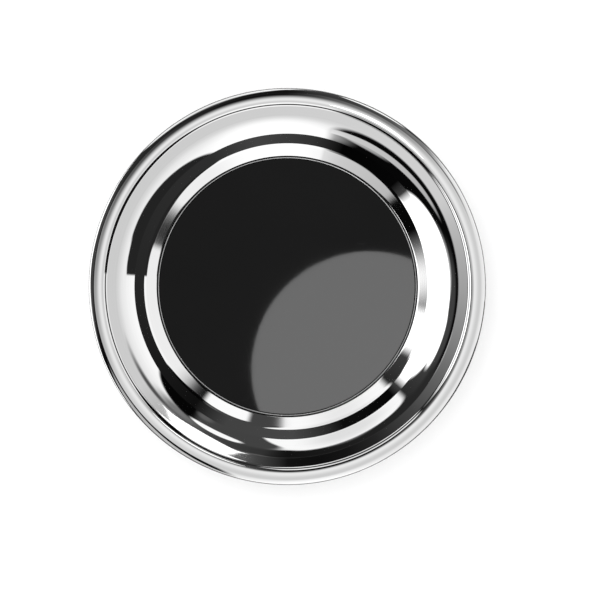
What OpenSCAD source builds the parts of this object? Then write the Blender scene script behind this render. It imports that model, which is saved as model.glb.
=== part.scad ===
// Round small-parts tray: a pressed sheet dish with a rolled rim, a black disc
// laid in its floor and a ring magnet clamped underneath inside a rubber boot.
// Millimetres, +Z up. The origin is the centre of the foot ring on the bench.
// Name endings: _r radius, _t thickness, _w width in plan, _h height, _d depth,
// _z height above the bench.

/* [Dish] */
// Outside diameter over the rim bead
dish_od = 108; // [104:1:120]
// Thickness of the pressed sheet
sheet_t = 0.5; // [0.45:0.05:0.55]
// Slope of the narrow flange inside the bead, degrees
flange_slope = 19; // [15:1:21]
// Width of that flange in plan
flange_w = 2.05; // [1.5:0.05:3]
// Slope where the rounded shoulder starts, degrees
shoulder_in = 23.6; // [22.5:0.1:26]
// Slope where the rounded shoulder ends, degrees
shoulder_out = 38; // [34:0.5:40]
// Width of the shoulder in plan
shoulder_w = 5; // [4:0.1:6]
// Slope of the wall cone, degrees
wall_slope = 41.5; // [40.5:0.5:46]
// Width of the wall cone in plan
wall_w = 2.45; // [1.5:0.05:3]
// Slope of the lower cone that runs down to the disc, degrees
lower_slope = 30; // [26:0.5:33]
// Width of the lower cone in plan
lower_w = 2.58; // [2:0.02:3.2]
// Height of the step round the floor recess
step_h = 1.0; // [0.9:0.05:1.2]

/* [Rim] */
// Radius of the bead from its crest towards the flange
bead_in_r = 2.06; // [1.6:0.02:2.4]
// Steepest slope on the inside of the bead, degrees
bead_foot = 44.5; // [38:0.5:46]
// Radius of the crest towards the edge
crest_r = 4.4; // [4:0.1:4.8]
// Radius of the long outer slope of the bead
outer_r = 15.1; // [12:0.1:17]
// Radius of the turned-down edge
edge_r = 0.62; // [0.6:0.01:0.8]
// Height of the straight skirt below the edge
skirt_h = 1.1; // [0.8:0.1:1.6]
// Outside radius of the curl below the skirt
curl_r = 1.1; // [1.0:0.05:1.2]

/* [Floor disc] */
// Thickness of the black disc
disc_t = 0.85; // [0.7:0.05:1.0]
// Radius on the disc's upper edge
disc_edge_r = 0.3; // [0.15:0.05:0.35]
// Play between the disc and the step, at the floor
disc_gap = 0.2; // [0.1:0.05:0.3]
// Thickness of the adhesive film
film_t = 0.2; // [0.1:0.05:0.3]

/* [Screw well] */
// Inside radius of the drawn well in the floor
well_r = 7; // [6.5:0.1:7.5]
// Depth of the well
well_d = 2.2; // [2.15:0.05:2.4]

/* [Magnet] */
// Thickness of the ring magnet
magnet_t = 6; // [5.5:0.1:7]
// Bore radius of the ring magnet
magnet_bore_r = 12; // [11:0.5:14]
// Thickness of the steel back plate
plate_t = 1.6; // [1.2:0.1:2]

/* [Boot] */
// Height of the underside of the back plate above the bench
plate_z = 5; // [4.9:0.05:5.4]
// Height of the boot's underside field above the bench
foot_h = 0.9; // [0.6:0.1:1.2]
// Radius of the access hole under the nut
access_r = 7.5; // [7:0.1:9]

/* [Screw] */
// Nominal thread radius
thread_r = 2; // [2, 2.5]
// Across flats of the nut
nut_af = 7; // [7, 8]

/* [Hidden] */
$fn = 180;

// Largest turn and largest length of one strip of an arc
arc_step = 9;
arc_len = 0.5;

// Screw hole in the sheet, the spacer bush and the back plate
hole_r = thread_r + 0.2;
// Play round and above the spacer bush, and between the boot and the magnet and plate
fit_play = 0.1;
// How far a cutting cylinder starts below the body it cuts
overcut = 1;

// Slopes along the sheet, degrees
curl_end_slope = -235;  // free end of the curl
edge_slope = 28.3;      // turned-down edge meets the long outer slope
crest_slope = 24.3;     // long outer slope meets the crest
step_slope = 78;        // face of the step

// Blend radii along the sheet, from the bead inwards
bead_foot_r = 1.62;
flange_end_r = 1.5;
shoulder_end_r = 0.8;
wall_foot_r = 4.86;
step_top_r = 0.6;
step_foot_r = 0.15;
well_top_r = 0.9;
well_foot_r = 0.5;

shoulder_r = shoulder_w / (sin(shoulder_out) - sin(shoulder_in));
// Straight part of the step, between its two blends
step_line = (step_h - step_top_r * (cos(lower_slope) - cos(step_slope))
             - step_foot_r * (1 - cos(step_slope))) / sin(step_slope);

// The upper surface of the sheet is walked from the free end of the curl over
// the bead and down to the screw hole. Each piece of the walk is an arc
// [radius, slope at start, slope at end], positive radius for a convex arc, or a
// straight [0, slope, length]. A slope is positive where the surface falls
// towards the centre. Every point is [x, z, slope].
function straight(start, slope, length) =
    [[start[0] - length * cos(slope), start[1] - length * sin(slope), slope]];

function arc(start, radius, from, to) =
    let (turn = to - from,
         strips = max(2, ceil(abs(turn) / arc_step),
                      ceil(abs(radius * turn) * PI / 180 / arc_len)))
    [for (i = [1:strips])
        let (slope = from + turn * i / strips)
        [start[0] - radius * (sin(slope) - sin(from)),
         start[1] + radius * (cos(slope) - cos(from)),
         slope]];

function walk(start, piece) =
    piece[0] == 0 ? straight(start, piece[1], piece[2])
                  : arc(start, piece[0], piece[1], piece[2]);

function last(list) = list[len(list) - 1];

function chain(points, pieces, k = 0) =
    k == len(pieces) ? points
    : chain(concat(points, walk(last(points), pieces[k])), pieces, k + 1);

rim_pieces = [
    [curl_r, curl_end_slope, -90],
    [0, -90, skirt_h],
    [edge_r, -90, -edge_slope],
    [outer_r, -edge_slope, -crest_slope],
    [crest_r, -crest_slope, 0],
    [bead_in_r, 0, bead_foot],
    [-bead_foot_r, bead_foot, flange_slope],
    [0, flange_slope, flange_w / cos(flange_slope)],
    [flange_end_r, flange_slope, shoulder_in],
    [shoulder_r, shoulder_in, shoulder_out],
    [shoulder_end_r, shoulder_out, wall_slope],
    [0, wall_slope, wall_w / cos(wall_slope)],
    [-wall_foot_r, wall_slope, lower_slope],
    [0, lower_slope, lower_w / cos(lower_slope)],
    [step_top_r, lower_slope, step_slope],
    [0, step_slope, step_line],
    [-step_foot_r, step_slope, 0]
];
// Walked from height 0 at the curl's free end, then moved up to the floor height
rim_start = [dish_od / 2 - curl_r - curl_r * sin(curl_end_slope), 0, curl_end_slope];
rim_walk = chain([rim_start], rim_pieces);
floor_r = last(rim_walk)[0];

// Heights of the stack, from the bench up
plate_top = plate_z + plate_t;
magnet_top = plate_top + magnet_t;
floor_z = magnet_top + sheet_t;
film_top = floor_z + film_t;
well_z = floor_z - well_d;

// Outside radii of the parts, from the floor recess inwards
disc_r = floor_r - disc_gap;
boot_r = floor_r - 0.35;
plate_r = boot_r - 3.1;
magnet_r = plate_r - 1.5;

well_pieces = [
    [0, 0, floor_r - well_r - well_top_r],
    [well_top_r, 0, 90],
    [0, 90, well_d - well_top_r - well_foot_r],
    [-well_foot_r, 90, 0],
    [0, 0, well_r - well_foot_r - hole_r]
];
rim_lift = floor_z - last(rim_walk)[1];
rim_points = [for (point = rim_walk) [point[0], point[1] + rim_lift, point[2]]];
sheet_points = chain(rim_points, well_pieces);

// The walked points moved square to the surface, down into the sheet
function sheet_face(depth) =
    [for (point = sheet_points)
        [point[0] + depth * sin(point[2]), point[1] - depth * cos(point[2])]];

function reversed(list) = [for (i = [len(list) - 1:-1:0]) list[i]];

function shifted(points, x, z = 0) = [for (point = points) [point[0] + x, point[1] + z]];

// A plain ring with straight walls
module ring(outside_r, inside_r, height)
    difference() {
        cylinder(r = outside_r, h = height);
        translate([0, 0, -overcut]) cylinder(r = inside_r, h = height + 2 * overcut);
    }

// A ring with small chamfers on all four edges
module chamfered_ring(outside_r, inside_r, height, chamfer)
    rotate_extrude()
        polygon([[inside_r + chamfer, 0], [outside_r - chamfer, 0],
                 [outside_r, chamfer], [outside_r, height - chamfer],
                 [outside_r - chamfer, height], [inside_r + chamfer, height],
                 [inside_r, height - chamfer], [inside_r, chamfer]]);

module dish()
    color([0.80, 0.81, 0.82])
        rotate_extrude()
            polygon(concat(sheet_face(0), reversed(sheet_face(sheet_t))));

// The disc: square lower edge, rounded upper edge
module center_disc() {
    inner_r = disc_r - disc_edge_r;
    side_h = disc_t - disc_edge_r;
    color([0.03, 0.03, 0.033])
        translate([0, 0, film_top])
            rotate_extrude()
                union() {
                    square([inner_r, disc_t]);
                    square([disc_r, side_h]);
                    translate([inner_r, side_h])
                        intersection() {
                            circle(r = disc_edge_r, $fn = 48);
                            square(disc_edge_r * 2);
                        }
                }
}

// Film set back from the disc's edge and from the mouth of the well
module disc_adhesive()
    color([0.86, 0.84, 0.78])
        translate([0, 0, floor_z])
            ring(disc_r - 1, well_r + well_top_r + 0.6, film_t);

// Pan head with a hexagon socket, plain shank with a chamfered tip
shank_len = 10;
shank_r = thread_r - 0.05;
shank_overlap = 0.5;
tip_chamfer = 0.4;
socket_r = thread_r * 0.72;
socket_floor = 0.8;
socket_cut_h = 3;
// Head outline: [radius / thread radius, height above the well floor]
head_outline = [[0, 0], [1.95, 0], [1.95, 1.1], [1.8, 1.55], [1.45, 1.85], [0.9, 2.0], [0, 2.0]];

module center_screw()
    color([0.62, 0.63, 0.64])
        difference() {
            union() {
                translate([0, 0, well_z])
                    rotate_extrude()
                        polygon([for (point = head_outline) [thread_r * point[0], point[1]]]);
                translate([0, 0, well_z - shank_len])
                    rotate_extrude()
                        polygon([[0, 0], [shank_r - tip_chamfer, 0], [shank_r, tip_chamfer],
                                 [shank_r, shank_len + shank_overlap],
                                 [0, shank_len + shank_overlap]]);
            }
            translate([0, 0, well_z + socket_floor])
                cylinder(r = socket_r, h = socket_cut_h, $fn = 6);
        }

// Fills the magnet's bore under the well and carries the clamping force
module spacer_bush() {
    bush_r = magnet_bore_r - fit_play;
    bush_top = magnet_t - fit_play;
    well_side_r = well_r + sheet_t + fit_play;
    seat_h = magnet_t - well_d;
    color([0.90, 0.89, 0.85])
        translate([0, 0, plate_top])
            rotate_extrude()
                polygon([[hole_r, 0], [bush_r, 0], [bush_r, bush_top],
                         // flared mouth round the well
                         [well_side_r + 0.9, bush_top], [well_side_r, magnet_t - 1.2],
                         // sloping corner and seat under the well
                         [well_side_r, seat_h + 0.4], [well_r - 0.2, seat_h],
                         [hole_r, seat_h]]);
}

module ring_magnet()
    color([0.16, 0.16, 0.17])
        translate([0, 0, plate_top])
            chamfered_ring(magnet_r, magnet_bore_r, magnet_t, chamfer = 0.5);

module pole_plate()
    color([0.66, 0.67, 0.68])
        translate([0, 0, plate_z])
            chamfered_ring(plate_r, hole_r, plate_t, chamfer = 0.2);

washer_t = 0.8;

module flat_washer()
    color([0.70, 0.71, 0.72])
        translate([0, 0, plate_z - washer_t])
            ring(thread_r * 2.25, thread_r + 0.15, washer_t);

// Hexagon with its corners chamfered at both ends
nut_h = 3.2;
nut_chamfer_h = 0.55;
nut_face_r = nut_af / 2 * 0.95;
nut_corner_r = nut_af / 2 / cos(30);
nut_limit_r = nut_corner_r + 0.01;
nut_cut_h = 6;

module hex_nut()
    color([0.68, 0.69, 0.70])
        translate([0, 0, plate_z - washer_t - nut_h])
            difference() {
                intersection() {
                    cylinder(r = nut_corner_r, h = nut_h, $fn = 6);
                    rotate_extrude()
                        polygon([[0, 0], [nut_face_r, 0], [nut_limit_r, nut_chamfer_h],
                                 [nut_limit_r, nut_h - nut_chamfer_h],
                                 [nut_face_r, nut_h], [0, nut_h]]);
                }
                translate([0, 0, -overcut]) cylinder(r = thread_r, h = nut_cut_h);
            }

// Soft boot: side wall with a lip over the back plate, a foot ring with two
// grip grooves, a recessed underside field with two ribs and an access hole
access_chamfer = 0.5;
rib_pitch = 5.2;
groove_pitch = 2.4;
groove_inset = 6.7;  // first groove, in from the boot's side
foot_edge_r = 1.6;
// Outlines: [outwards, up] from the centre line of the rib or groove
rib_outline = [[-0.9, 0], [-0.5, -0.5], [0.5, -0.5], [0.9, 0]];
groove_outline = [[-0.5, 0], [-0.25, 0.45], [0.25, 0.45], [0.5, 0]];
// Waist and top edge of the side wall: [outwards from the side, up from the magnet's top]
side_outline = [[0, -3.4], [-0.5, -2.9], [-0.5, -1.9], [0, -1.4], [0, -0.5], [-0.4, -fit_play]];

module rubber_boot() {
    web_top = plate_z - 0.15;
    lip_z = plate_top + 0.05;
    magnet_pocket_r = magnet_r + fit_play;
    plate_pocket_r = plate_r + fit_play;
    color([0.06, 0.06, 0.06])
        rotate_extrude()
            polygon(concat(
                // access hole
                [[access_r, web_top], [access_r, foot_h + access_chamfer],
                 [access_r + access_chamfer, foot_h]],
                // ribs in the recessed field
                [for (k = [1:2]) each shifted(rib_outline, access_r + k * rib_pitch, foot_h)],
                // inner edge of the foot ring
                [[boot_r - 10.2, foot_h], [boot_r - 9.3, 0.12], [boot_r - 8.9, 0]],
                // grip grooves
                [for (k = [0:1])
                    each shifted(groove_outline, boot_r - groove_inset + k * groove_pitch)],
                // rounded outer foot edge
                [for (a = [0:9:90])
                    [boot_r - foot_edge_r * (1 - sin(a)), foot_edge_r * (1 - cos(a))]],
                // side wall with a shallow waist under the dish
                shifted(side_outline, boot_r, magnet_top),
                // pocket for the magnet and the back plate
                [[magnet_pocket_r, magnet_top - fit_play], [magnet_pocket_r, lip_z],
                 [plate_pocket_r, lip_z], [plate_pocket_r, web_top]]));
}

dish();
center_disc();
disc_adhesive();
center_screw();
spacer_bush();
ring_magnet();
pole_plate();
flat_washer();
hex_nut();
rubber_boot();
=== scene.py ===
"""A round magnetic tray: a mirror-polished pressed steel dish with a gloss black disc
in its centre, on a ring magnet in a black rubber boot, held by a screw and washer.

The tray is round about the Z axis and opens upwards. The camera looks straight down at
it, with +X to the right and +Y (the back) up. Profiles are in millimetres, scenes and
shaders in metres.
"""
import math
import bmesh
import bpy
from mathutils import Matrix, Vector


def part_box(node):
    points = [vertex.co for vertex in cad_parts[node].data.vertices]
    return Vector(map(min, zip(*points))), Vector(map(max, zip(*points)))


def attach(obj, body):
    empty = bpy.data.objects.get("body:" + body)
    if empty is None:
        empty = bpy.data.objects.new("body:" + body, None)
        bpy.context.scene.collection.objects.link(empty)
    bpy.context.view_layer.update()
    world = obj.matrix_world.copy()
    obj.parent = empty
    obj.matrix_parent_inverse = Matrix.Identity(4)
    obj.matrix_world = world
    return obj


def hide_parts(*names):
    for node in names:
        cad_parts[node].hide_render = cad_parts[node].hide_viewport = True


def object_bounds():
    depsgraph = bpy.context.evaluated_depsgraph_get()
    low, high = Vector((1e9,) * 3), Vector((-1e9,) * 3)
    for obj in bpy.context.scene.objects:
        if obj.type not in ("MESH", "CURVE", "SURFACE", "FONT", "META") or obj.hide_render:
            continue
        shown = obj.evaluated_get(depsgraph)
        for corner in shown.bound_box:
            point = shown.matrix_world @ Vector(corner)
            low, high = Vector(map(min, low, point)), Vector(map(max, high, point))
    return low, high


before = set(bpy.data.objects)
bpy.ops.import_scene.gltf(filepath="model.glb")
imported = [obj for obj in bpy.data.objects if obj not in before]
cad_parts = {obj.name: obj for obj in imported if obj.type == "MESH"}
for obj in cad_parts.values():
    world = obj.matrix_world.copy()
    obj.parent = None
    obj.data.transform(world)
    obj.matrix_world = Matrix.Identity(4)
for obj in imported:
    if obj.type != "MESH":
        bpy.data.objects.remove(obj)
cad_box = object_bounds()
scene = bpy.context.scene
MM = 0.001


# ---------------------------------------------------------------- helpers
def sin_deg(angle):
    return math.sin(math.radians(angle))


def cos_deg(angle):
    return math.cos(math.radians(angle))


def box_mm(piece):
    """Outer radius, bottom and top of a round CAD piece, in millimetres."""
    low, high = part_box(piece)
    return high.x / MM, low.z / MM, high.z / MM


def add_object(name, data):
    ob = bpy.data.objects.new(name, data)
    scene.collection.objects.link(ob)
    return ob


def smooth_object(name, verts, faces, sharp):
    """Makes a smooth-shaded mesh object, with edges sharper than `sharp` degrees kept."""
    mesh = bpy.data.meshes.new(name)
    mesh.from_pydata(verts, [], faces)
    mesh.validate()
    mesh.update()
    bm = bmesh.new()
    bm.from_mesh(mesh)
    bmesh.ops.recalc_face_normals(bm, faces=bm.faces)
    bm.to_mesh(mesh)
    bm.free()
    mesh.polygons.foreach_set("use_smooth", [True] * len(mesh.polygons))
    mesh.set_sharp_from_angle(angle=math.radians(sharp))
    return add_object(name, mesh)


def ring_point(radius, z, angle):
    """Millimetre cylinder coordinates to a vertex in metres."""
    return (radius * MM * math.cos(angle), radius * MM * math.sin(angle), z * MM)


def lathe(name, profile, segments, sharp=50.0):
    """Revolves a closed outline of (r, z) in millimetres about Z. A point on the axis
    becomes one vertex, and a side that lies along the axis makes no faces."""
    verts, faces, rings = [], [], []
    for r, z in profile:
        count = 1 if r < 1e-6 else segments
        rings.append(list(range(len(verts), len(verts) + count)))
        if count == 1:
            verts.append((0.0, 0.0, z * MM))
        else:
            verts += [ring_point(r, z, 2 * math.pi * i / segments) for i in range(segments)]
    for a, b in zip(rings, rings[1:] + rings[:1]):
        if len(a) == 1 and len(b) == 1:
            continue
        for i in range(segments):
            j = (i + 1) % segments
            if len(a) == 1:
                faces.append((a[0], b[j], b[i]))
            elif len(b) == 1:
                faces.append((a[i], a[j], b[0]))
            else:
                faces.append((a[i], a[j], b[j], b[i]))
    return smooth_object(name, verts, faces, sharp)


def fillet(outline, steps=5):
    """Rounds the corners of a closed outline of (r, z, corner radius)."""
    rounded = []
    for i, (x, y, radius) in enumerate(outline):
        if radius <= 0:
            rounded.append((x, y))
            continue
        corner = Vector((x, y))
        back = Vector(outline[i - 1][:2]) - corner
        ahead = Vector(outline[(i + 1) % len(outline)][:2]) - corner
        u, v = back.normalized(), ahead.normalized()
        half = math.acos(max(-1.0, min(1.0, u.dot(v)))) / 2
        # a fillet never takes more than 0.45 of either side
        cut = min(radius / math.tan(half), 0.45 * min(back.length, ahead.length))
        fitted = cut * math.tan(half)
        centre = corner + (u + v).normalized() * (fitted / math.sin(half))
        start = corner + u * cut - centre
        end = corner + v * cut - centre
        angle = math.atan2(start.y, start.x)
        sweep = (math.atan2(end.y, end.x) - angle + math.pi) % (2 * math.pi) - math.pi
        for k in range(steps + 1):
            t = angle + sweep * k / steps
            rounded.append((centre.x + fitted * math.cos(t), centre.y + fitted * math.sin(t)))
    return rounded


# ---------------------------------------------------------------- shader nodes
class Nodes:
    """Builds nodes in one tree. Any value may be a number or an output socket."""

    def __init__(self, tree):
        self.tree = tree
        tree.nodes.clear()

    def node(self, kind, **props):
        node = self.tree.nodes.new(kind)
        for key, value in props.items():
            setattr(node, key, value)
        return node

    def put(self, socket, value):
        if isinstance(value, bpy.types.NodeSocket):
            self.tree.links.new(value, socket)
        else:
            socket.default_value = value

    def math(self, operation, a, b=0.0, c=None):
        node = self.node("ShaderNodeMath", operation=operation)
        self.put(node.inputs[0], a)
        self.put(node.inputs[1], b)
        if c is not None:
            self.put(node.inputs[2], c)
        return node.outputs[0]

    def add(self, a, b):
        return self.math("ADD", a, b)

    def sub(self, a, b):
        return self.math("SUBTRACT", a, b)

    def mul(self, a, b):
        return self.math("MULTIPLY", a, b)

    def mix(self, factor, a, b):
        """a + factor * (b - a)"""
        return self.math("MULTIPLY_ADD", factor, self.sub(b, a), a)

    def map_range(self, kind, value, start, end, low, high):
        node = self.node("ShaderNodeMapRange", interpolation_type=kind, clamp=True)
        self.put(node.inputs["Value"], value)
        for key, number in (("From Min", start), ("From Max", end),
                            ("To Min", low), ("To Max", high)):
            self.put(node.inputs[key], number)
        return node.outputs["Result"]

    def smooth(self, value, off, on):
        """Eases from 0 where value is `off` to 1 where it is `on`."""
        return self.map_range("SMOOTHSTEP", value, off, on, 0.0, 1.0)

    def spread(self, value, low, high, start=0.3, end=0.7):
        """Linear from low to high. The default start and end suit a noise."""
        return self.map_range("LINEAR", value, start, end, low, high)

    def noise(self, vector, scale, detail, roughness, one_d=False):
        node = self.node("ShaderNodeTexNoise", noise_dimensions="1D" if one_d else "3D")
        self.put(node.inputs["W" if one_d else "Vector"], vector)
        node.inputs["Scale"].default_value = scale
        node.inputs["Detail"].default_value = detail
        node.inputs["Roughness"].default_value = roughness
        return node.outputs["Fac"]

    def split(self, vector):
        node = self.node("ShaderNodeSeparateXYZ")
        self.put(node.inputs[0], vector)
        return node.outputs

    def radius(self, x, y):
        return self.math("SQRT", self.add(self.mul(x, x), self.mul(y, y)))


class Material(Nodes):
    """A new material with one Principled shader, and object coordinates at hand."""

    def __init__(self, name):
        self.material = bpy.data.materials.new(name)
        self.material.use_nodes = True
        super().__init__(self.material.node_tree)
        self.bsdf = self.node("ShaderNodeBsdfPrincipled")
        self.output = self.node("ShaderNodeOutputMaterial")
        self.put(self.output.inputs[0], self.bsdf.outputs[0])
        self.coords = self.node("ShaderNodeTexCoord").outputs["Object"]

    def surface(self, name, value):
        self.put(self.bsdf.inputs[name], value)

    def grey(self, value, tint=(1.0, 1.0, 1.0)):
        node = self.node("ShaderNodeCombineColor")
        for i in range(3):
            self.put(node.inputs[i], self.mul(value, tint[i]))
        self.surface("Base Color", node.outputs[0])

    def bump(self, height, strength, distance):
        node = self.node("ShaderNodeBump")
        node.inputs["Strength"].default_value = strength
        node.inputs["Distance"].default_value = distance
        self.put(node.inputs["Height"], height)
        self.surface("Normal", node.outputs[0])

    def turned(self, radius, angle, across, along):
        """Vector for marks that run round the axis: `across` and `along` set how
        fast it changes with the radius and round the circle."""
        node = self.node("ShaderNodeCombineXYZ")
        self.put(node.inputs[0], self.mul(radius, across))
        self.put(node.inputs[1], self.mul(self.math("COSINE", angle), along))
        self.put(node.inputs[2], self.mul(self.math("SINE", angle), along))
        return node.outputs[0]


# ---------------------------------------------------------------- materials
CREASE_R = 49.48 * MM  # the crease between the dish's bead and its flange


def polished_steel():
    m = Material("polished_steel")
    x, y, z = m.split(m.coords)
    radius = m.radius(x, y)
    angle = m.math("ARCTAN2", y, x)
    top_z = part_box("dish")[1].z
    m.surface("Metallic", 1.0)

    # grey: slow drift plus very faint turned rings
    drift = m.noise(m.coords, scale=22.0, detail=3.0, roughness=0.5)
    rings = m.noise(radius, scale=2600.0, detail=2.0, roughness=0.6, one_d=True)
    value = m.add(m.spread(drift, low=0.785, high=0.815),
                  m.spread(rings, low=-0.006, high=0.006))

    # painted shade in the crease inside the bead: the steel's colour is darker there, in
    # patches, near the top
    from_crease = m.math("ABSOLUTE", m.sub(radius, CREASE_R))
    patches = m.noise(m.coords, scale=90.0, detail=3.0, roughness=0.6)
    crease_shade = m.smooth(from_crease, off=0.00030, on=0.00008)
    crease_shade = m.mul(crease_shade, m.spread(patches, low=0.72, high=0.94))
    crease_shade = m.mul(crease_shade, m.smooth(z, off=top_z - 0.0020, on=top_z - 0.0001))
    # the painted crease shade darkens the steel's colour
    value = m.mul(value, m.sub(1.0, crease_shade))

    # painted shade in the gap round the black disc: the steel's colour is darker there, in
    # patches; the same mask also raises the steel's roughness there, as dust would
    disc_low, disc_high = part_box("center_disc")
    gap_r, gap_z = disc_high.x, disc_low.z
    patches = m.noise(m.coords, scale=140.0, detail=3.0, roughness=0.6)
    dust = m.mul(m.smooth(radius, off=gap_r - 0.0001, on=gap_r),
                 m.smooth(radius, off=gap_r + 0.0006, on=gap_r + 0.0004))
    dust = m.mul(dust, m.smooth(z, off=gap_z + 0.0005, on=gap_z + 0.0002))
    dust = m.mul(dust, m.spread(patches, low=0.75, high=1.0))
    gap_shade_darkening = 0.45
    # the gap mask darkens the colour as painted shade
    m.grey(m.mul(value, m.sub(1.0, m.mul(dust, gap_shade_darkening))))

    # roughness: smudges, hairlines, wear on the rim, and the dust
    smudge = m.smooth(m.noise(m.coords, scale=55.0, detail=5.0, roughness=0.62),
                      off=0.52, on=0.78)
    hair = m.noise(m.turned(radius, angle, across=9000.0, along=14.0),
                   scale=1.0, detail=2.0, roughness=0.5)
    hairlines = m.smooth(hair, off=0.66, on=0.74)
    wear = m.smooth(m.noise(m.turned(radius, angle, across=700.0, along=9.0),
                            scale=1.0, detail=4.0, roughness=0.6), off=0.55, on=0.75)
    on_rim = m.smooth(z, off=top_z - 0.0011, on=top_z - 0.0001)
    rough = 0.028
    for mark, amount in ((smudge, 0.030), (hairlines, 0.05), (m.mul(on_rim, wear), 0.07),
                         (dust, 0.30)):
        rough = m.add(rough, m.mul(mark, amount))
    m.surface("Roughness", rough)
    ring_share = hair_share = 0.5
    m.bump(m.add(m.mul(rings, ring_share), m.mul(hair, hair_share)),
           strength=0.06, distance=0.00001)
    return m.material


def gloss_black():
    m = Material("gloss_black")
    specks = m.noise(m.coords, scale=2600.0, detail=1.0, roughness=0.5)
    dust = m.smooth(specks, off=0.77, on=0.83)
    cloud = m.noise(m.coords, scale=30.0, detail=4.0, roughness=0.6)
    dust_grey = 0.006
    m.grey(m.add(m.spread(cloud, low=0.0012, high=0.0018), m.mul(dust, dust_grey)),
           tint=(1.0, 1.0, 1.02))

    # fine scratches, all in one direction
    mapping = m.node("ShaderNodeMapping")
    m.put(mapping.inputs["Vector"], m.coords)
    mapping.inputs["Rotation"].default_value = (0, 0, 0.7)
    mapping.inputs["Scale"].default_value = (60.0, 4200.0, 1.0)
    streaks = m.noise(mapping.outputs[0], scale=1.0, detail=2.0, roughness=0.5)
    scratch = m.smooth(streaks, off=0.72, on=0.80)
    scratch_roughness, scratch_height = 0.03, -0.3
    m.surface("Roughness", m.add(m.spread(cloud, low=0.014, high=0.020, start=0.35),
                                 m.mul(scratch, scratch_roughness)))
    m.surface("IOR", 1.5)
    m.surface("Specular IOR Level", 0.115)
    waves = m.noise(m.coords, scale=180.0, detail=2.0, roughness=0.5)
    m.bump(m.add(waves, m.mul(scratch, scratch_height)), strength=0.03, distance=0.00001)
    return m.material


def black_rubber():
    m = Material("black_rubber")
    z = m.split(m.coords)[2]
    fine = m.noise(m.coords, scale=3800.0, detail=3.0, roughness=0.6)
    cloud = m.noise(m.coords, scale=70.0, detail=5.0, roughness=0.65)
    # paler in chalky patches and near the bottom
    chalk = m.smooth(cloud, off=0.5, on=0.8)
    low_down = m.smooth(z, off=0.0035, on=0.0)
    chalk_grey = 0.010
    m.grey(m.add(m.spread(fine, low=0.012, high=0.020),
                 m.mul(m.add(chalk, low_down), chalk_grey)), tint=(1.0, 0.99, 0.97))
    m.surface("Roughness", m.spread(cloud, low=0.52, high=0.74))
    m.bump(fine, strength=0.35, distance=0.00012)
    return m.material


def zinc_steel():
    m = Material("zinc_steel")
    x, y, _ = m.split(m.coords)
    m.surface("Metallic", 1.0)
    cloud = m.noise(m.coords, scale=420.0, detail=4.0, roughness=0.6)
    rings = m.noise(m.radius(x, y), scale=9000.0, detail=2.0, roughness=0.5, one_d=True)
    m.grey(m.add(m.spread(cloud, low=0.52, high=0.66), m.spread(rings, low=-0.03, high=0.03)),
           tint=(1.0, 1.005, 1.02))
    m.surface("Roughness", m.spread(cloud, low=0.26, high=0.42))
    cloud_height = 0.6
    m.bump(m.add(rings, m.mul(cloud, cloud_height)), strength=0.25, distance=0.00003)
    return m.material


def cloudy(name, greys, tint, roughness, cloud_scale, grain_scale, bump_strength):
    """A plain material: greys and roughness (low, high) follow clouds, over a fine grain."""
    m = Material(name)
    cloud = m.noise(m.coords, scale=cloud_scale, detail=5.0, roughness=0.6)
    grain = m.noise(m.coords, scale=grain_scale, detail=3.0, roughness=0.55)
    grain_grey = 0.12 * greys[0]
    m.grey(m.add(m.spread(cloud, *greys), m.spread(grain, -grain_grey, grain_grey)), tint)
    m.surface("Roughness", m.spread(cloud, *roughness))
    m.bump(grain, strength=bump_strength, distance=0.0001)
    return m.material


MATERIALS = {
    "polished_steel": polished_steel(),
    "gloss_black": gloss_black(),
    "black_rubber": black_rubber(),
    "zinc_steel": zinc_steel(),
    "ferrite": cloudy("ferrite", greys=(0.035, 0.06), tint=(1.0, 1.0, 1.04),
                      roughness=(0.55, 0.75), cloud_scale=90.0, grain_scale=2500.0,
                      bump_strength=0.3),
    "natural_nylon": cloudy("natural_nylon", greys=(0.74, 0.82), tint=(1.0, 0.985, 0.93),
                            roughness=(0.35, 0.5), cloud_scale=60.0, grain_scale=1500.0,
                            bump_strength=0.15),
    "adhesive_film": cloudy("adhesive_film", greys=(0.6, 0.7), tint=(1.0, 0.95, 0.85),
                            roughness=(0.5, 0.7), cloud_scale=80.0, grain_scale=2000.0,
                            bump_strength=0.2),
}


def dress(ob, material):
    ob.data.materials.clear()
    ob.data.materials.append(material)


def install(ob, cad_piece, material_name):
    """Gives a finished piece its material and puts it in the CAD piece's place."""
    dress(ob, MATERIALS[material_name])
    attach(ob, "root")
    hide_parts(cad_piece)
    return ob


# ---------------------------------------------------------------- dish
# The sheet is walked from its curled outer edge inwards. Lengths are in mm and
# slopes in degrees, positive where the surface falls towards the centre. Widths
# are measured level, _R is a bend radius.
DISH_D = 108.0
SHEET_T = 0.5
CURL_R, CURL_START = 1.1, -235.0
SKIRT_H = 1.1
EDGE_R, EDGE_SLOPE = 0.62, -28.3
OUTER_R, CREST_SLOPE = 15.1, -24.3
CREST_R = 4.4
BEAD_IN_R, BEAD_FOOT_SLOPE, BEAD_FOOT_R = 2.06, 44.5, 1.62
FLANGE_SLOPE, FLANGE_W, FLANGE_END_R = 19.0, 2.05, 1.5
SHOULDER_IN, SHOULDER_OUT, SHOULDER_W = 23.6, 38.0, 5.0
WALL_BLEND_R, WALL_SLOPE, WALL_W = 0.8, 41.5, 2.45
TOE_R = 4.86
LOWER_SLOPE, LOWER_W = 30.0, 2.58
STEP_SLOPE, STEP_H, STEP_TOP_R, STEP_FOOT_R = 78.0, 1.0, 0.6, 0.15
WELL_R, WELL_D, WELL_TOP_R, WELL_FOOT_R = 7.0, 2.2, 0.9, 0.5
HOLE_R = 2.0 + 0.2  # half the thread, plus clearance


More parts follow.
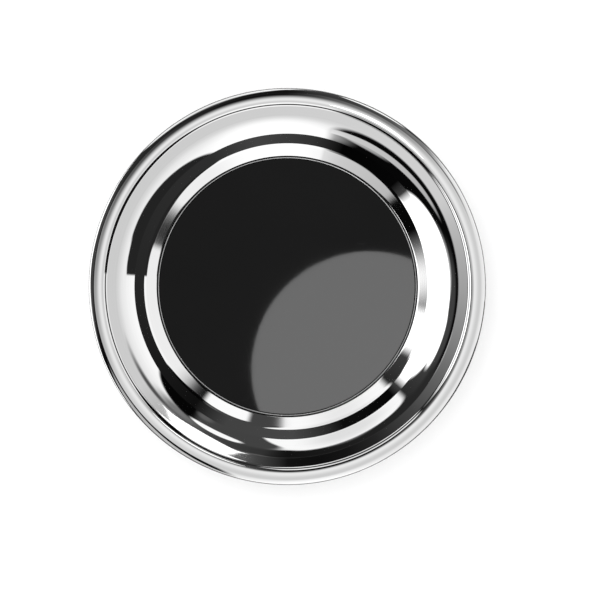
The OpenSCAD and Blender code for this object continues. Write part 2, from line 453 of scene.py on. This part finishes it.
def walk(path, segments, turn=3.0, step=0.32):
    """Extends a path of (r, z, slope). A segment is (0, slope, length) when straight
    and (signed radius, first slope, last slope) when bent. `turn` and `step` are the
    most degrees and millimetres between two points."""
    for radius, start, end in segments:
        r, z, _ = path[-1]
        if radius == 0:
            n = max(2, int(math.ceil(end / step)))
            path += [(r - end * cos_deg(start) * i / n, z - end * sin_deg(start) * i / n, start)
                     for i in range(1, n + 1)]
            continue
        n = max(3, int(math.ceil(abs(end - start) / turn)),
                int(math.ceil(abs(radius * math.radians(end - start)) / step)))
        for i in range(1, n + 1):
            slope = start + (end - start) * i / n
            path.append((r - radius * (sin_deg(slope) - sin_deg(start)),
                         z + radius * (cos_deg(slope) - cos_deg(start)), slope))


def straight(slope, width):
    """A straight segment of a given level width."""
    return (0, slope, width / cos_deg(slope))


def make_dish():
    shoulder_r = SHOULDER_W / (sin_deg(SHOULDER_OUT) - sin_deg(SHOULDER_IN))
    step_length = (STEP_H - STEP_TOP_R * (cos_deg(LOWER_SLOPE) - cos_deg(STEP_SLOPE))
                   - STEP_FOOT_R * (1 - cos_deg(STEP_SLOPE))) / sin_deg(STEP_SLOPE)
    path = [(DISH_D / 2 - CURL_R - CURL_R * sin_deg(CURL_START), 0.0, CURL_START)]
    walk(path, [
        (CURL_R, CURL_START, -90.0),
        (0, -90.0, SKIRT_H),
        (EDGE_R, -90.0, EDGE_SLOPE),
        (OUTER_R, EDGE_SLOPE, CREST_SLOPE),
        (CREST_R, CREST_SLOPE, 0.0),
        (BEAD_IN_R, 0.0, BEAD_FOOT_SLOPE),
        (-BEAD_FOOT_R, BEAD_FOOT_SLOPE, FLANGE_SLOPE),
        straight(FLANGE_SLOPE, FLANGE_W),
        (FLANGE_END_R, FLANGE_SLOPE, SHOULDER_IN),
        (shoulder_r, SHOULDER_IN, SHOULDER_OUT),
        (WALL_BLEND_R, SHOULDER_OUT, WALL_SLOPE),
        straight(WALL_SLOPE, WALL_W),
        (-TOE_R, WALL_SLOPE, LOWER_SLOPE),
        straight(LOWER_SLOPE, LOWER_W),
        (STEP_TOP_R, LOWER_SLOPE, STEP_SLOPE),
        (0, STEP_SLOPE, step_length),
        (-STEP_FOOT_R, STEP_SLOPE, 0.0),
    ])
    floor_r = path[-1][0]
    # flat floor, then the well under the disc, in to the screw hole
    walk(path, [
        (0, 0.0, floor_r - WELL_R - WELL_TOP_R),
        (WELL_TOP_R, 0.0, 90.0),
        (0, 90.0, WELL_D - WELL_TOP_R - WELL_FOOT_R),
        (-WELL_FOOT_R, 90.0, 0.0),
        (0, 0.0, WELL_R - WELL_FOOT_R - HOLE_R),
    ], turn=8.0, step=3.0)
    # the crest of the bead is level with the top of the CAD dish
    lift = box_mm("dish")[2] - max(z for _, z, _ in path)
    path = [(r, z + lift, slope) for r, z, slope in path]
    upper = [(r, z) for r, z, _ in path]
    under = [(r + SHEET_T * sin_deg(slope), z - SHEET_T * cos_deg(slope))
             for r, z, slope in reversed(path)]
    return lathe("dish_pressed_sheet", upper + under, 400, sharp=35.0)


# ---------------------------------------------------------------- other pieces
def make_disc():
    radius, bottom, top = box_mm("center_disc")
    edge_r = 0.30
    ring_places = (0.0, 0.15, 0.3, 0.45, 0.6, 0.75, 0.88, 0.96)  # parts of the radius
    profile = [(radius * part, top) for part in ring_places]
    profile.append((radius - edge_r - 0.02, top))  # keeps the shading of the top flat
    profile += [(radius - edge_r + edge_r * sin_deg(a), top - edge_r + edge_r * cos_deg(a))
                for a in range(0, 91, 6)]
    under_bevel = 0.05
    profile += [(radius, bottom + under_bevel), (radius - under_bevel, bottom), (0.0, bottom)]
    return lathe("center_disc_gloss", profile, 360)


def make_boot():
    """The CAD boot with a moulding's small radii, lip and parting line."""
    radius, bottom, _ = box_mm("rubber_boot")
    plate_r, plate_bottom, plate_top = box_mm("pole_plate")
    magnet_r, _, magnet_top = box_mm("ring_magnet")
    bore_r = 7.5
    base = bottom + 0.9          # underside inside the foot ring
    side = radius - 0.06         # side wall, inside the parting line
    pocket_gap = 0.1             # round the magnet and the plate
    plate_seat = plate_bottom - 0.15
    magnet_seat = plate_top + 0.05
    lip = magnet_top - 0.1
    # r, z, corner radius
    outline = [(bore_r, plate_seat, 0.2), (bore_r, base + 0.5, 0.25), (bore_r + 0.5, base, 0.25)]
    for r in (bore_r + 5.2, bore_r + 10.4):  # ridges on the base
        outline += [(r - 0.9, base, 0.12), (r - 0.5, base - 0.5, 0.2),
                    (r + 0.5, base - 0.5, 0.2), (r + 0.9, base, 0.12)]
    outline += [(radius - 10.2, base, 0.3), (radius - 9.3, bottom + 0.12, 0.1),
                (radius - 8.9, bottom, 0.1)]
    for r in (radius - 6.7, radius - 4.3):  # grooves in the foot ring
        outline += [(r - 0.5, bottom, 0.1), (r - 0.25, bottom + 0.45, 0.12),
                    (r + 0.25, bottom + 0.45, 0.12), (r + 0.5, bottom, 0.1)]
    outline += [
        # outer bottom edge and parting line
        (side, bottom, 1.6), (side, bottom + 6.9, 0), (radius, bottom + 6.98, 0.03),
        (radius, bottom + 7.16, 0.03), (side, bottom + 7.24, 0),
        # groove round the side
        (radius - 0.04, magnet_top - 3.4, 0.3), (radius - 0.5, magnet_top - 2.9, 0.25),
        (radius - 0.5, magnet_top - 1.9, 0.25), (radius - 0.02, magnet_top - 1.4, 0.25),
        # lip
        (radius - 0.02, magnet_top - 0.5, 0.2), (radius - 0.4, lip, 0.15),
        # pocket for the magnet and the plate
        (magnet_r + pocket_gap, lip, 0.1), (magnet_r + pocket_gap, magnet_seat, 0),
        (plate_r + pocket_gap, magnet_seat, 0), (plate_r + pocket_gap, plate_seat, 0),
    ]
    return lathe("rubber_boot_moulded", fillet(outline), 240)


def make_washer():
    """Punched: rounded edges below, sheared edges above."""
    radius, bottom, top = box_mm("flat_washer")
    hole_r = 2.15
    outline = [(hole_r, top, 0.03), (hole_r, bottom, 0.14), (radius, bottom, 0.16),
               (radius, top, 0.04)]
    return lathe("flat_washer_punched", fillet(outline), 96)


def make_screw():
    """Pan head with a hexagon socket, on a rolled thread with a real helix."""
    _, tip_z, top_z = box_mm("center_screw")
    head_h = 2.0
    head_z = top_z - head_h
    crest_r, root_r, pitch = 1.95, 1.62, 0.7
    tip_r, lead_in, lead_rise = 1.35, 0.5, 0.6  # the thread grows over lead_in from the tip
    land, flank = 0.12, 0.76                    # parts of half a pitch
    socket_floor, hex_apothem = 0.8, 1.247
    segments, rows_per_pitch = 60, 14
    # r, height above the underside of the head
    head = [(3.9, 0.0), (3.9, 1.0), (3.86, 1.2), (3.6, 1.55),
            (3.2, 1.75), (2.7, 1.88), (2.2, 1.96), (1.95, head_h)]
    verts = []

    def add_ring(z, radius_at):
        for j in range(segments):
            turn = j / segments
            verts.append(ring_point(radius_at(turn), z, 2 * math.pi * turn))

    def thread_radius(rise, turn):
        phase = (rise / pitch - turn) % 1.0
        height = min(1.0, max(0.0, (abs(2 * phase - 1) - land) / flank))
        limit = tip_r + lead_rise * min(1.0, rise / lead_in)
        return min(root_r + (crest_r - root_r) * height, limit)

    rows = int(round((head_z - tip_z) / pitch * rows_per_pitch))
    for i in range(rows + 1):
        z = tip_z + (head_z - tip_z) * i / rows
        add_ring(z, lambda turn: thread_radius(z - tip_z, turn))
    for r, height in head:
        add_ring(head_z + height, lambda turn: r)
    for height in (head_h, socket_floor):
        add_ring(head_z + height, lambda turn: hex_apothem / cos_deg(360 * turn % 60 - 30))

    rings = [range(i, i + segments) for i in range(0, len(verts), segments)]
    faces = []
    for a, b in zip(rings, rings[1:]):
        for j in range(segments):
            k = (j + 1) % segments
            faces.append((a[j], a[k], b[k], b[j]))
    faces.append(tuple(reversed(rings[0])))
    faces.append(tuple(rings[-1]))
    return smooth_object("center_screw_threaded", verts, faces, sharp=40)


dish = install(make_dish(), "dish", "polished_steel")
disc = install(make_disc(), "center_disc", "gloss_black")
install(make_boot(), "rubber_boot", "black_rubber")
install(make_washer(), "flat_washer", "zinc_steel")
install(make_screw(), "center_screw", "zinc_steel")

CAD_MATERIALS = {
    "disc_adhesive": "adhesive_film", "center_screw": "zinc_steel",
    "spacer_bush": "natural_nylon", "ring_magnet": "ferrite", "pole_plate": "zinc_steel",
    "flat_washer": "zinc_steel", "hex_nut": "zinc_steel", "rubber_boot": "black_rubber",
    "dish": "polished_steel", "center_disc": "gloss_black",
}
for piece, material_name in CAD_MATERIALS.items():
    dress(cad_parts[piece], MATERIALS[material_name])

# ---------------------------------------------------------------- studio world
# What the polished dish reflects. Azimuth is 0 at +X and 90 at +Y, the polar angle
# is taken down from straight above, both in degrees. A tone is the display grey
# (0 to 255, more is brighter than white) that the steel shows when it reflects it.
STEEL_REFLECTANCE = 0.80
ZENITH_TONE = 233
# polar angle, tone of the walls
ROOM = [(46, 205), (50, 212), (56, 232), (64, 243), (72, 250), (90, 250)]
# azimuth, tone of the band between the zenith and the walls
BAND = [(-180, 160), (-170, 170), (-160, 185), (-150, 205), (-138, 208), (-80, 204), (20, 204),
        (34, 204), (44, 180), (58, 125), (72, 100), (80, 66), (90, 18), (100, 14), (110, 21),
        (120, 36), (135, 66), (150, 101), (165, 134), (180, 160)]
# azimuth, tone of the band low on the horizon, seen by the steep wall of the dish
HORIZON = [(-180, 330), (-147, 330), (-141, 60), (-136, 6), (-112, 3), (-100, 50), (-78, 66),
           (-60, 46), (0, 38), (35, 24), (52, 14), (66, 66), (92, 70), (112, 14), (134, 6),
           (138, 60), (144, 330), (180, 330)]
HORIZON_START = 77.0
# The camera sees the dish's wall this many degrees off the vertical, so the room
# and the cards are laid out at polar angles this much larger.
VIEW_LEAN = 1.7
# Cards on the walls, each laid over the ones before: azimuth, polar angle, half
# width, half height, exponent of the outline (2 is an ellipse, more is squarer),
# edge softness, lean, tone at the low-azimuth end, tone at the high-azimuth end,
# azimuth where it is cut off or None
CARDS = [
    # large dark cards on the left, and a softer one over them
    (160, 56, 60, 7.7, 8, 0.06, 0, 11, 11, None),
    (-158, 78, 52.5, 30.6, 5, 0.05, 0, 8, 6, None),
    (168, 56.8, 24, 4.8, 3, 0.35, 0, 64, 60, None),
    # dark back
    (115, 53, 37, 6.2, 6, 0.12, 0, 9, 42, None),
    (143.5, 70, 9.5, 13, 5, 0.26, 0, 34, 64, None),
    # back right: grey and dark patches, and one bright strip
    (66, 56, 20, 9.5, 4, 0.25, 0, 78, 44, None),
    (48, 56, 8, 5, 2, 0.80, 0, 125, 110, None),
    (37, 50.4, 14, 2.8, 2, 0.70, 0, 78, 78, None),
    (56, 84, 23.6, 24.9, 2.2, 0.05, 0, 5, 5, None),
    (71.5, 80, 16.5, 22, 8, 0.12, 0, 66, 66, None),
    (58, 73.5, 3.0, 4.0, 2, 0.60, 0, 92, 92, None),
    (63.8, 60.5, 10, 3.1, 2, 0.16, 0, 252, 252, None),
    # bright window at the back
    (94.5, 80, 14, 19.6, 1.6, 0.07, 0, 250, 250, None),
    (112.7, 70.5, 23.6, 13.4, 5, 0.07, 0, 250, 246, None),
    (113, 69, 14, 10, 2, 0.60, 0, 222, 222, None),
    # lens-shaped light gap at the front left
    (-119, 63.6, 8.5, 4.0, 2, 0.35, 0, 140, 190, None),
    (-123, 59.7, 31, 3.8, 2, 0.14, 0.16, 172, 212, -105.5),
    # large soft box on the left, the brightest light
    (161, 63.2, 11, 3.7, 3, 0.22, 0, 300, 300, None),
    (-171, 61.2, 9, 2.6, 2, 0.80, 0, 235, 150, None),
    (-179.3, 80, 37.2, 19.4, 2.3, 0.06, 0, 330, 330, None),
    # bright wall in front
    (-84, 69, 21, 14, 2, 0.60, 0, 262, 262, None),
    # dark dome at the front right, and a light patch by it
    (-24, 82, 38.0, 22.5, 2, 0.04, 0, 34, 36, -4.2),
    (-9, 59.6, 8.0, 2.2, 3, 0.25, 0, 238, 238, None),
]
DIFFUSE_LIGHT = 1.45  # even light that falls on matt surfaces
BACKDROP = 0.93       # what the camera sees directly


def radiance(tone):
    """Radiance that the steel reflects as this display grey (sRGB curve)."""
    v = max(tone, 0) / 255.0
    linear = v / 12.92 if v <= 0.04045 else ((v + 0.055) / 1.055) ** 2.4
    return linear / STEEL_REFLECTANCE


def ladder(n, value, table):
    """Radiance that runs straight from one (position, tone) to the next."""
    total = radiance(table[0][1])
    for (start, tone), (end, next_tone) in zip(table, table[1:]):
        if next_tone != tone:
            rise = radiance(next_tone) - radiance(tone)
            total = n.add(total, n.spread(value, 0.0, rise, start, end))
    return total


def lay_card(n, room, azimuth, polar, card):
    (card_azimuth, card_polar, half_w, half_h, exponent, softness, lean,
     low_tone, high_tone, azimuth_end) = card
    across = n.math("WRAP", n.sub(azimuth, card_azimuth), 180.0, -180.0)
    down = n.sub(polar, card_polar)
    if lean:
        down = n.sub(down, n.mul(across, lean))
    u, v = (n.math("POWER", n.math("ABSOLUTE", n.math("DIVIDE", offset, half)), exponent)
            for offset, half in ((across, half_w), (down, half_h)))
    distance = n.math("POWER", n.add(u, v), 1.0 / exponent)
    mask = n.smooth(distance, off=1.0 + softness, on=1.0 - softness)
    if azimuth_end is not None:
        mask = n.mul(mask, n.smooth(azimuth, off=azimuth_end + 0.5, on=azimuth_end - 0.5))
    tone = radiance(low_tone)
    if low_tone != high_tone:
        tone = n.spread(across, tone, radiance(high_tone), -half_w, half_w)
    return n.mix(mask, room, tone)


def build_world():
    world = bpy.data.worlds.new("studio")
    scene.world = world
    world.use_nodes = True
    n = Nodes(world.node_tree)
    direction = n.node("ShaderNodeVectorMath", operation="NORMALIZE")
    n.put(direction.inputs[0], n.node("ShaderNodeTexCoord").outputs["Generated"])
    x, y, z = n.split(direction.outputs[0])
    degrees = 180.0 / math.pi
    polar = n.mul(n.math("ARCTAN2", n.radius(x, y), z), degrees)
    azimuth = n.mul(n.math("ARCTAN2", y, x), degrees)

    band = n.mix(n.smooth(polar, off=1.0, on=35.0), radiance(ZENITH_TONE),
                 ladder(n, azimuth, BAND))
    laid_polar = n.add(polar, VIEW_LEAN)
    room = n.mix(n.smooth(laid_polar, off=46.6, on=48.6), band, ladder(n, laid_polar, ROOM))
    for card in CARDS:
        room = lay_card(n, room, azimuth, laid_polar, card)
    low_down = n.smooth(polar, off=HORIZON_START - 0.5, on=HORIZON_START + 0.5)
    room = n.mix(low_down, room, ladder(n, azimuth, HORIZON))

    path = n.node("ShaderNodeLightPath")
    seen = n.mix(path.outputs["Is Diffuse Ray"], room, DIFFUSE_LIGHT)
    seen = n.mix(path.outputs["Is Camera Ray"], seen, BACKDROP)
    background = n.node("ShaderNodeBackground")
    n.put(background.inputs["Color"], seen)
    background.inputs["Strength"].default_value = 1.0
    n.put(n.node("ShaderNodeOutputWorld").inputs[0], background.outputs[0])
    world.cycles.sampling_method = "NONE"


build_world()


# ---------------------------------------------------------------- floor
FLOOR_R = 4.0
FLOOR_DROP = 0.00002  # below the tray, so that the faces don't meet
WINDOW_R = 0.0325


def pale_floor():
    m = Material("pale_floor")
    cloud = m.noise(m.coords, scale=9.0, detail=3.0, roughness=0.5)
    value = m.spread(cloud, low=0.93, high=0.95)
    # the polished steel reflects the floor darker, and darker still farther out
    x, y, _ = m.split(m.coords)
    radius = m.math("SQRT", m.add(m.math("POWER", x, 2.0), m.math("POWER", y, 2.0)))
    near_share, far_drop = 0.47, 0.44
    reflected = m.sub(near_share, m.mul(m.smooth(radius, off=0.08, on=0.15), far_drop))
    path = m.node("ShaderNodeLightPath")
    m.grey(m.mul(value, m.mix(path.outputs["Is Glossy Ray"], 1.0, reflected)))
    m.surface("Roughness", 0.8)
    m.surface("Specular IOR Level", 0.0)
    # a camera under the floor looks through it at the tray's foot, and a round
    # window hidden under the rubber foot lets light up into the magnet's pocket
    from_below = m.mul(m.node("ShaderNodeNewGeometry").outputs["Backfacing"],
                       path.outputs["Is Camera Ray"])
    window = m.math("LESS_THAN", radius, WINDOW_R)
    see_through = m.node("ShaderNodeMixShader")
    m.put(see_through.inputs[0], m.math("MAXIMUM", from_below, window))
    m.put(see_through.inputs[1], m.bsdf.outputs[0])
    m.put(see_through.inputs[2], m.node("ShaderNodeBsdfTransparent").outputs[0])
    m.put(m.output.inputs[0], see_through.outputs[0])
    return m.material


bpy.ops.mesh.primitive_circle_add(vertices=96, radius=FLOOR_R, fill_type="NGON",
                                  location=(0, 0, cad_box[0][2] - FLOOR_DROP))
floor = bpy.context.object
floor.name = "floor"
dress(floor, pale_floor())

# ---------------------------------------------------------------- lights
CAMERA_Z = 1.5


def add_key_light():
    light = bpy.data.lights.new("key", "AREA")
    light.shape = "DISK"
    light.size = 1.2
    light.energy = 5.0
    ob = add_object("key", light)
    ob.location = (-0.6, 0.7, 1.4)
    ob.rotation_euler = (-ob.location).to_track_quat("-Z", "Y").to_euler()
    ob.visible_glossy = False
    ob.visible_camera = False


def add_linked_light(name, target, location, brightness, size, size_y=None, spin=0.0):
    """A small soft light, facing down, that only one piece reflects: a disc, or an
    ellipse when size_y is given. Brightness is its radiance, spin is in degrees."""
    light = bpy.data.lights.new(name, "AREA")
    light.shape = "ELLIPSE" if size_y else "DISK"
    light.size = size
    if size_y:
        light.size_y = size_y
    area = size * (size_y or size) * math.pi / 4
    light.energy = brightness * math.pi * area
    ob = add_object(name, light)
    ob.location = location
    ob.rotation_euler = (0.0, 0.0, math.radians(spin))
    ob.visible_camera = False
    ob.visible_diffuse = False
    receivers = bpy.data.collections.new(name + "_receiver")
    receivers.objects.link(target)
    ob.light_linking.receiver_collection = receivers


add_key_light()
# round reflection in the black disc, from the height of the camera
add_linked_light("disc_patch", disc, location=(0.0449, -0.0453, CAMERA_Z), brightness=14.8,
                 size=0.129)
# strip over the tray that only the narrow flange picks up
STRIP_AZIMUTH, STRIP_R, STRIP_Z = 60.0, 0.042, 0.1163
add_linked_light("strip", dish, brightness=1.5, size=0.047, size_y=0.0212, spin=STRIP_AZIMUTH,
                 location=(STRIP_R * cos_deg(STRIP_AZIMUTH), STRIP_R * sin_deg(STRIP_AZIMUTH),
                           STRIP_Z))

# ---------------------------------------------------------------- camera
SENSOR_W = 36.0
VIEW_W = 0.1633064516  # width of the view at the focus height
FOCUS_DROP = 0.0027    # of that height below the top of the dish

camera = bpy.data.cameras.new("camera")
camera_ob = add_object("camera", camera)
camera.sensor_width = SENSOR_W
camera.lens = SENSOR_W * (CAMERA_Z - (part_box("dish")[1].z - FOCUS_DROP)) / VIEW_W
camera.clip_end = 20.0
camera.shift_x = 0.02105
camera.shift_y = -0.0224666667
camera_ob.location = (0.0, 0.0, CAMERA_Z)
camera_ob.rotation_euler = (0.0, 0.0, 0.0)
scene.camera = camera_ob
scene.view_settings.view_transform = "Standard"
scene.view_settings.look = "None"
